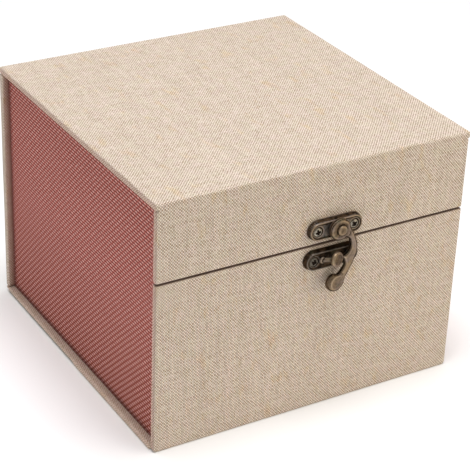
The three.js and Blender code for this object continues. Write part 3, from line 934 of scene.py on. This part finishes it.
points = []
seam_half = pad_half[:2] - piping_radius
for angle in even_angles(piping_turns):
    centre = rounded_square(angle, *seam_half, pad_corner) + pad_middle[:2]
    ahead = rounded_square(angle + 0.01, *seam_half, pad_corner) + pad_middle[:2]
    tangent = (ahead - centre) / np.linalg.norm(ahead - centre)
    outward = np.array([tangent[1], -tangent[0]])
    for turn in even_angles(piping_sides):
        flat = centre + outward * piping_radius * math.cos(turn)
        points.append((*flat, pad_high[2] - piping_drop + piping_radius * math.sin(turn)))
faces = [[i % len(points) for i in face[::-1]] for face in ring_faces(piping_turns + 1, piping_sides)]
piping = make_piece("lid_cushion_piping", points, faces, plush)
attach(piping, "lid")

# The swing hook latch: two cast bronze plates with raised rims, a hook on a rivet and a stud that it
# catches. Tumbled after the dark antique finish, so rims and faces are rubbed bright, sides stay dark.
front_face = corners_of("front_cloth")[0][1]
casting_voxel = 0.15 * mm
wear_spread = 6
patina = (0.013, 0.008, 0.005, 1)
brown_patina = (0.070, 0.043, 0.025, 1)
rubbed = (0.275, 0.199, 0.127, 1)
rubbed_grey = (0.235, 0.18, 0.148, 1)
# Grey of the plates' scarcely rubbed faces, partly their own tone and partly a painted sheen.
plate_grey_and_sheen = (0.34, 0.315, 0.29, 1)
rubbed_bright = (0.45, 0.355, 0.25, 1)
verdigris = (0.16, 0.17, 0.11, 1)
# Colour of the tarnish and painted shade on the stud's neck below its head.
neck_shade_and_tarnish = (0.075, 0.068, 0.044, 1)
glancing_tint = (0.78, 0.63, 0.50, 1)
bronze_relief = 0.05 * mm
mottle_share = 0.55
crust_range = (0.42, 0.60)
tarnish_range = (0.42, 0.58)
grey_and_sheen_range = (0.5, 0.25)
rubbed_range = (0.1, 0.6)
bright_range = (0.7, 1.15)
verdigris_range = (0.55, 0.75, 0.0, 0.45)
dull_to_polished = (0.0, 1.0, 0.62, 0.34)

bronze, shader = new_finish("antique bronze", Metallic=0.85, Specular_Tint=glancing_tint)
mottle, stains, crust, tarnish = (
    noise_at(object_place(shader), scale, detail)
    for scale, detail in ((900.0, 5.0), (260.0, 4.0), (620.0, 3.0), (170.0, 3.0))
)
wear = attribute_of(shader, "wear") + (mottle - 0.5) * mottle_share
skin = mixed(stretch(crust, *crust_range), patina, brown_patina)
bared = mixed(stretch(tarnish, *tarnish_range), rubbed, rubbed_grey)
# On the plates the scarcely rubbed faces turn grey, partly their own tone and partly a painted sheen.
bared = mixed(attribute_of(shader, "grey_and_sheen") * stretch(wear, *grey_and_sheen_range), bared, plate_grey_and_sheen)
metal = mixed(stretch(wear, *rubbed_range), skin, bared)
metal = mixed(stretch(wear, *bright_range), metal, rubbed_bright)
metal = mixed(stretch(stains, *verdigris_range), metal, verdigris)
# The stud's neck darkened below its head: tarnish and painted shade.
metal = mixed(attribute_of(shader, "neck"), metal, neck_shade_and_tarnish)
coat(shader, metal, mottle, bronze_relief)
wire(stretch(wear, *dull_to_polished), shader.inputs["Roughness"])


def on_front(local, x, z):
    local = np.asarray(local, dtype=float)
    return np.stack([x + local[:, 0], front_face - local[:, 2], z + local[:, 1]], axis=1)


def joined(solids):
    points, faces = [], []
    for more_points, more_faces in solids:
        faces += [[i + len(points) for i in face] for face in more_faces]
        points += [tuple(p) for p in more_points]
    return points, faces


def turned(profile, steps=48):
    angles = even_angles(steps)
    circle = np.column_stack([np.cos(angles), np.sin(angles), np.zeros(steps)])
    return loops_solid([circle * r * mm + (0, 0, h * mm) for r, h in profile])


def wear_of(mesh, rubbing, baring):
    places = of_vertices(mesh, "co")
    normals = of_vertices(mesh, "normal")
    edges = np.empty(len(mesh.edges) * 2, dtype=np.int64)
    mesh.edges.foreach_get("vertices", edges)
    first, second = edges.reshape(-1, 2).T
    count = len(places)
    step = places[second] - places[first]
    length = np.maximum(np.linalg.norm(step, axis=1), 1e-9)
    bend = ((normals[second] - normals[first]) * step).sum(axis=1) / length ** 2
    share = np.maximum(np.bincount(first, minlength=count) + np.bincount(second, minlength=count), 1)
    convex = (np.bincount(first, bend, count) + np.bincount(second, bend, count)) / share
    for _ in range(wear_spread):
        around = np.bincount(first, convex[second], count) + np.bincount(second, convex[first], count)
        convex = 0.5 * convex + 0.5 * around / share
    facing = np.clip(-normals[:, 1], 0, 1)
    return np.clip(facing ** 2 * rubbing + np.clip(convex * mm, -0.8, 0.8) * baring, 0, 1.2)


def cast_piece(name, solids, x, z, body, node, shape=None, smoothing=3, rubbing=0.5, baring=0.9):
    points, faces = joined(solids)
    piece = remeshed(name, on_front(points, x, z), faces, bronze, casting_voxel, smoothing)
    mesh = piece.data
    places = of_vertices(mesh, "co")
    if shape:
        outward = -of_vertices(mesh, "normal")[:, 1]
        places[:, 1] -= shape(places[:, 0] - x, places[:, 2] - z, front_face - places[:, 1], outward)
        mesh.vertices.foreach_set("co", places.ravel())
        mesh.update()
    if callable(rubbing):
        rubbing = rubbing(places[:, 0] - x, places[:, 2] - z)
    mark(piece, "wear", wear_of(mesh, rubbing, baring))
    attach(piece, body)
    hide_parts(node)
    return piece


# The two plates, round-ended, with drafted sides, a bead along the rim and a dished face. Each screw
# sits in a sunk round seat.
plate_length = 28
plate_width = 9.7
plate_height = 2.6 * mm
plate_section = [(0, 0), (0.05, 0.4), (0.2, 1.3), (0.45, 2.3), (0.62, 2.75), (0.8, 3.0), (1.05, 3.0),
                 (1.25, 2.8), (1.45, 2.6)]
screw_reach = 9.4 * mm
seat_radius = 2.55 * mm
seat_depth = 0.75 * mm
seat_bevel = 0.25 * mm
# The catch plate gets far less rubbing and baring than the hook plate: a painted shade under the hook.
latch_plates = {"hook_plate": ("flap", 0.24, 0.75), "catch_plate": ("case", 0.06, 0.38)}


def stadium(inset, height):
    radius = plate_width / 2 - inset
    straight = (plate_length - plate_width) / 2
    outline = arc((straight, 0), radius, -90, 90, 17) + arc((-straight, 0), radius, 90, 270, 17)
    return np.column_stack([outline, np.full(len(outline), height)]) * mm


def sunk_seats(u, v, height, outward):
    from_screw = np.hypot(np.abs(u) - screw_reach, v)
    share = np.clip((seat_radius - from_screw) / seat_bevel, 0, 1)
    sink = share * share * (3 - 2 * share) * seat_depth
    return np.where((outward > 0.3) & (height > 1.5 * mm), -sink, 0)


for node, (body, plate_rubbing_and_shade, plate_baring_and_shade) in latch_plates.items():
    middle = sum(corners_of(node)) / 2
    plate = cast_piece(
        f"{node}_casting", [loops_solid([stadium(*ring) for ring in plate_section])], middle[0], middle[2],
        body, node, sunk_seats, rubbing=plate_rubbing_and_shade, baring=plate_baring_and_shade,
    )
    # Only the plates take the grey tone with its painted sheen.
    mark(plate, "grey_and_sheen", np.ones(len(plate.data.vertices)))

# The hook: a flat casting with a ring round the rivet, an arm that bulges to the right, a barb behind
# the stud's head and a round thumb knob with a bevelled face. Its outline is drawn from the pivot.
pivot = sum(corners_of("pivot_rivet")) / 2
hook_back = 3.25
hook_front = 5.25
ring_middle = (-0.35, 0)
ring_radius = 5.15
catch_drop = (corners_of("hook_plate")[0][2] - corners_of("catch_plate")[0][2]) / mm
knob_middle = (-1.2, -catch_drop - 11.8)
knob_radius = 4.4
knob_reach = (knob_radius + 1.2) * mm
thumb_middle = (0.1, -catch_drop - 12.3)
thumb_radius = 3.5 * mm
thumb_bevel = 0.8 * mm
bevel_reach = 1.9 * mm
crest_width = 0.4 * mm
hook_rounding = 0.55 * mm
rounding_reach = 1.1 * mm
ring_crown = 0.3 * mm
crown_radius = 3.9 * mm
crown_half = 1.5 * mm
arm_ridge = 0.25 * mm
ridge_reach = 3 * mm


def curve_through(points, steps=9):
    places = np.array([points[0], *points, points[-1]])
    curve = []
    for a, b, c, d in zip(places, places[1:], places[2:], places[3:]):
        for t in np.linspace(0, 1, steps, endpoint=False):
            bent = (2 * a - 5 * b + 4 * c - d) * t * t + (3 * b - a - 3 * c + d) * t ** 3
            curve.append(tuple(0.5 * (2 * b + (c - a) * t + bent)))
    return curve


def below_catch(x, drop):
    return (x, -catch_drop - drop)


ring = arc(ring_middle, ring_radius, -55, -355, 60)
knob = arc(knob_middle, knob_radius, 5, -255, 44)
barb = below_catch(1.9, -0.6)
arm = [ring[-1], (7.5, -4.4), (9.3, -10.7), below_catch(7.8, 2.2), below_catch(4.0, 9.7), knob[0]]
throat = [knob[-1], below_catch(0.4, 8.0), below_catch(3.2, 4.3), below_catch(3.0, 1.8), barb]
inner_arm = [barb, below_catch(4.4, -1.8), (5.9, -9.8), (5.0, -5.9), ring[0]]
outline = ring + curve_through(arm)[1:] + knob + curve_through(throat)[1:] + curve_through(inner_arm)
outline = np.array(outline)[::-1] * mm
hook_loops = [np.column_stack([outline, np.full(len(outline), h * mm)]) for h in (hook_back, hook_front)]


def edge_distance(u, v):
    nearest = np.full(len(u), 1.0)
    for start, end in zip(outline, np.roll(outline, -1, axis=0)):
        along = end - start
        share = ((u - start[0]) * along[0] + (v - start[1]) * along[1]) / max(along @ along, 1e-12)
        share = np.clip(share, 0, 1)
        distance = np.hypot(u - start[0] - share * along[0], v - start[1] - share * along[1])
        nearest = np.minimum(nearest, distance)
    return nearest


def thumb_shape(u, v):
    across = u - thumb_middle[0] * mm
    upward = v - thumb_middle[1] * mm
    distance = np.maximum(np.hypot(across, upward), 1e-9)
    leftwards = np.clip((0.53 * upward - 0.85 * across) / distance * 1.3 + 0.1, 0, 1)
    inside_knob = knob_reach - np.hypot(u - knob_middle[0] * mm, v - knob_middle[1] * mm)
    bevelled = np.clip(inside_knob / (0.6 * mm), 0, 1) * leftwards
    beyond = distance - thumb_radius
    slope = bevelled * np.clip(beyond / bevel_reach, 0, 1)
    crest = bevelled * np.exp(-(beyond / crest_width) ** 2)
    return slope, crest, np.clip(inside_knob / (2 * mm), 0, 1)


def hook_relief(u, v, height, outward):
    edge = edge_distance(u, v)
    rounding = hook_rounding * np.clip(1 - edge / rounding_reach, 0, 1) ** 2
    crown = ring_crown * np.clip(1 - ((np.hypot(u, v) - crown_radius) / crown_half) ** 2, 0, 1)
    ridge = arm_ridge * np.clip(edge / ridge_reach, 0, 1)
    raised = ridge + crown - rounding - thumb_bevel * thumb_shape(u, v)[0]
    return (outward > 0.4) * raised + (outward < -0.4) * rounding * 0.6


# On the thumb knob the bevel band is darkened as painted shade, and its crest brightened as painted
# highlight and wear.
def hook_rubbing_and_painted_light(u, v):
    slope, crest, knob_share = thumb_shape(u, v)
    worn = 0.48 - 0.26 * np.clip(1.6 - np.hypot(u, v) / (6 * mm), 0, 1)
    return worn - 0.09 * knob_share - 0.3 * slope + 0.3 * crest


cast_piece("swing_hook_casting", [loops_solid(hook_loops)], pivot[0], pivot[2], "hook", "swing_hook",
           hook_relief, 4, rubbing=hook_rubbing_and_painted_light)

# The rivet that the hook turns on: a bronze pin that stands in the upper plate, passes through the
# hook's ring and is peened over it to a low dome.
shaft_radius = 1.5
cap_radius = 2.3
cap_foot = 5.3
cap_wall = 0.9
cap_dome = 0.6
dome_foot = cap_foot + cap_wall

rivet_profile = [(shaft_radius, 0.2), (shaft_radius, cap_foot)]
rivet_profile += [(cap_radius, cap_foot), (cap_radius, dome_foot)]
for angle in np.radians(range(12, 90, 12)):
    rivet_profile.append((cap_radius * math.cos(angle) ** 0.4, dome_foot + cap_dome * math.sin(angle)))
rivet_profile.append((0.25, dome_foot + cap_dome))
cast_piece("rivet_casting", [turned(rivet_profile)], pivot[0], pivot[2], "flap", "pivot_rivet", None, 2,
           rubbing=0.32, baring=0.7)

# The stud: cast in one with a collar that stands on the catch plate, a neck that leans to the right,
# darkened below the head by tarnish and painted shade, and a round head square to it.
stud_x = 2.0 * mm
stud_z = corners_of("catch_plate")[0][2] + (plate_width / 2 + 0.1) * mm
collar_profile = [(1.15, 0), (1.15, 2.3), (1.5, 2.4), (1.6, 2.9), (1.45, 3.3), (1.1, 3.5)]
neck_profile = [(1.15, 0), (1.1, 2.0), (1.05, 4.4), (1.35, 6.1)]
neck_start = Vector((0, 0, 2.5)) * mm
lean = Vector((5.1, 0.9, 4.2)).normalized()
head_profile = [(1.4, -1.45), (2.9, -1.35), (3.45, -0.9), (3.6, -0.2), (3.45, 0.4), (2.8, 0.75), (1.5, 0.9),
                (0.4, 0.95)]
head_middle = Vector((5.1, 1.0, 6.75)) * mm
head_tilt = Vector((0.30, 0.06, 1.0)).normalized()
neck_darkening = 0.7
collar_darkening = 0.15
neck_top = 1.1 * mm
collar_end = stud_x + 2.3 * mm


def along_axis(profile, axis, start):
    points, faces = turned(profile, 40)
    turn = Vector((0, 0, 1)).rotation_difference(axis)
    return [start + turn @ Vector(p) for p in points], faces


stud_parts = [
    turned(collar_profile), along_axis(neck_profile, lean, neck_start),
    along_axis(head_profile, head_tilt, head_middle),
]
stud = cast_piece("stud_casting", stud_parts, stud_x, stud_z, "case", "catch_stud", None, 2, 0.2)
places = of_vertices(stud.data, "co")
head_axis = np.array([head_tilt.x, -head_tilt.z, head_tilt.y])
from_head = (places - on_front([head_middle], stud_x, stud_z)) @ head_axis
near_collar = np.clip((collar_end - places[:, 0]) / (1.3 * mm), 0, 1)
darkening = neck_darkening + (collar_darkening - neck_darkening) * near_collar
# Tarnish and painted shade on the neck below the head, less near the collar.
mark(stud, "neck", darkening * np.clip((-neck_top - from_head) / (0.5 * mm), 0, 1))

# The four small screws, two through each plate into the board: a low domed head with a cross recess,
# dull grey steel, black in the cross with dirt and painted shade, and on the catch plate's pair darkened
# all over by painted shade. Each pair is one copied screw, turned differently.
screw_sizes = {
    "Head radius": 2.0 * mm, "Head height": 0.9 * mm, "Dome radius": 4.2 * mm, "Shank radius": 1.0 * mm,
    "Shank length": 3.7 * mm, "Cross length": 3.55 * mm, "Cross width": 1.45 * mm, "Cross depth": 0.8 * mm,
}
# The third number is painted shade over the whole screw, strong on the catch plate's pair.
screw_pairs = {"hook_screw": (12, 34, 0.03), "catch_screw": (-20, 52, 0.55)}
screw_drop = 0.3 * mm
cross_taper = 0.62
dark_recess_depths = (0.04 * mm, 0.1 * mm)
dark_recess_reach = 1.8 * mm
steel_light = (0.52, 0.475, 0.395, 1)
steel_dark = (0.15, 0.132, 0.105, 1)
# Black for dirt and painted shade in the cross, and for painted shade on the catch plate's pair.
dirt_and_shade_colour = (0.018, 0.010, 0.006, 1)
scuff_scale = 1400.0
scuff_range = (0.35, 0.62)
scuff_relief = 0.02 * mm

steel, shader = new_finish("dull steel", Specular_IOR_Level=0.15)
dirt_and_shade = attribute_of(shader, "dirt_and_shade")
scuffs = noise_at(object_place(shader), scuff_scale, 4.0)
metal = mixed(stretch(scuffs, *scuff_range), steel_dark, steel_light)
coat(shader, mixed(dirt_and_shade, metal, dirt_and_shade_colour), scuffs, scuff_relief)
wire(0.8 - dirt_and_shade * 0.7, shader.inputs["Metallic"])
wire(0.42 + dirt_and_shade * 0.45, shader.inputs["Roughness"])

screws, size, screws_out = new_group(
    "screw pair", "GeometryNodeTree",
    {"Geometry": "Geometry", **dict.fromkeys([*screw_sizes, "Reach", "First turn", "Second turn", "Painted shade"],
                                             "Float"), "Seat": "Vector"},
    {"Geometry": "Geometry"},
)


def make(kind, inputs, **settings):
    return add_node(screws, f"GeometryNode{kind}", inputs, **settings)


def placed(mesh, move=(0, 0, 0), turn=(0, 0, 0), scale=(1, 1, 1)):
    return make("Transform", {"Geometry": mesh, "Translation": move, "Rotation": turn, "Scale": scale})


def carved(operation, first, second):
    result = make("MeshBoolean", {}, operation=operation, solver="EXACT")
    sockets = result.socket.node.inputs
    wire(first, sockets["Mesh 1" if operation == "DIFFERENCE" else "Mesh 2"])
    wire(second, sockets["Mesh 2"])
    return result


def upwards(height):
    return vector_of(0.0, 0.0, height)


dome_middle = size["Head height"] - size["Dome radius"]
cylinder = {"Vertices": 48, "Radius": size["Head radius"], "Depth": size["Head height"] * 2.0}
dome = make("MeshUVSphere", {"Segments": 64, "Rings": 48, "Radius": size["Dome radius"]})
head = carved("INTERSECT", make("MeshCylinder", cylinder), placed(dome, upwards(dome_middle)))
below = placed(make("MeshCube", {"Size": (0.02, 0.02, 0.02)}), (0, 0, -0.01))
head = carved("DIFFERENCE", head, below)
wedge = make("MeshCone", {
    "Vertices": 4, "Radius Top": math.sqrt(0.5), "Radius Bottom": cross_taper * math.sqrt(0.5), "Depth": 2.0,
})
wedge = placed(wedge, (0, 0, -1), (0, 0, math.pi / 4))
bar = placed(wedge, scale=vector_of(size["Cross length"], size["Cross width"], size["Cross depth"]))
for turn in (0, math.pi / 2):
    head = carved("DIFFERENCE", head, placed(bar, upwards(size["Head height"]), (0, 0, turn)))
shank = make("MeshCylinder", {"Vertices": 24, "Radius": size["Shank radius"], "Depth": size["Shank length"]})
screw = carved("UNION", head, placed(shank, upwards(size["Shank length"] * -0.49)))

x, y, z = parts_of(make("InputPosition", {}))
radius = calc("SQRT", x ** 2.0 + y ** 2.0)
surface = dome_middle + calc("SQRT", size["Dome radius"] ** 2.0 - radius ** 2.0)
# Dark in the cross recess: dirt and painted shade.
sunk = stretch(surface - z, *dark_recess_depths) * calc("LESS_THAN", radius, dark_recess_reach)
darkened = {"Geometry": screw, "Name": "dirt_and_shade", "Value": calc("MAXIMUM", sunk, size["Painted shade"])}
screw = make("StoreNamedAttribute", darkened, data_type="FLOAT", domain="FACE")

left_end = vector_of(size["Reach"] * -1.0, 0.0)
right_end = vector_of(size["Reach"], 0.0)
line = {"Count": 2, "Start Location": left_end, "Offset": right_end}
ends = make("MeshLine", line, mode="END_POINTS")
turn = stretch(make("InputIndex", {}), 0.0, 1.0, size["First turn"], size["Second turn"])
pair = make("InstanceOnPoints", {"Points": ends, "Instance": screw, "Rotation": upwards(turn)})
pair = placed(make("RealizeInstances", {0: pair}), size["Seat"], (math.pi / 2, 0, 0))
wire(make("SetMaterial", {"Geometry": pair, "Material": steel}), screws_out["Geometry"])

for name, (first_turn, second_turn, screw_shade) in screw_pairs.items():
    plate_node = name.replace("screw", "plate")
    middle = sum(corners_of(plate_node)) / 2
    values = {
        **screw_sizes, "Reach": screw_reach, "First turn": math.radians(first_turn),
        "Second turn": math.radians(second_turn), "Painted shade": screw_shade,
        "Seat": (middle[0], front_face - plate_height + seat_depth, middle[2] - screw_drop),
    }
    pieces = put_in_scene(f"{name}s", bpy.data.meshes.new(f"{name}s"))
    modifier = pieces.modifiers.new("screws", "NODES")
    modifier.node_group = screws
    for socket in screws.interface.items_tree:
        if socket.in_out == "INPUT" and socket.name in values:
            modifier[socket.identifier] = values[socket.name]
    pieces.data = final_mesh(pieces)
    pieces.data.shade_smooth()
    pieces.data.set_sharp_from_angle(angle=math.radians(30))
    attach(pieces, latch_plates[plate_node][0])
    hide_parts(f"{name}_left", f"{name}_right")
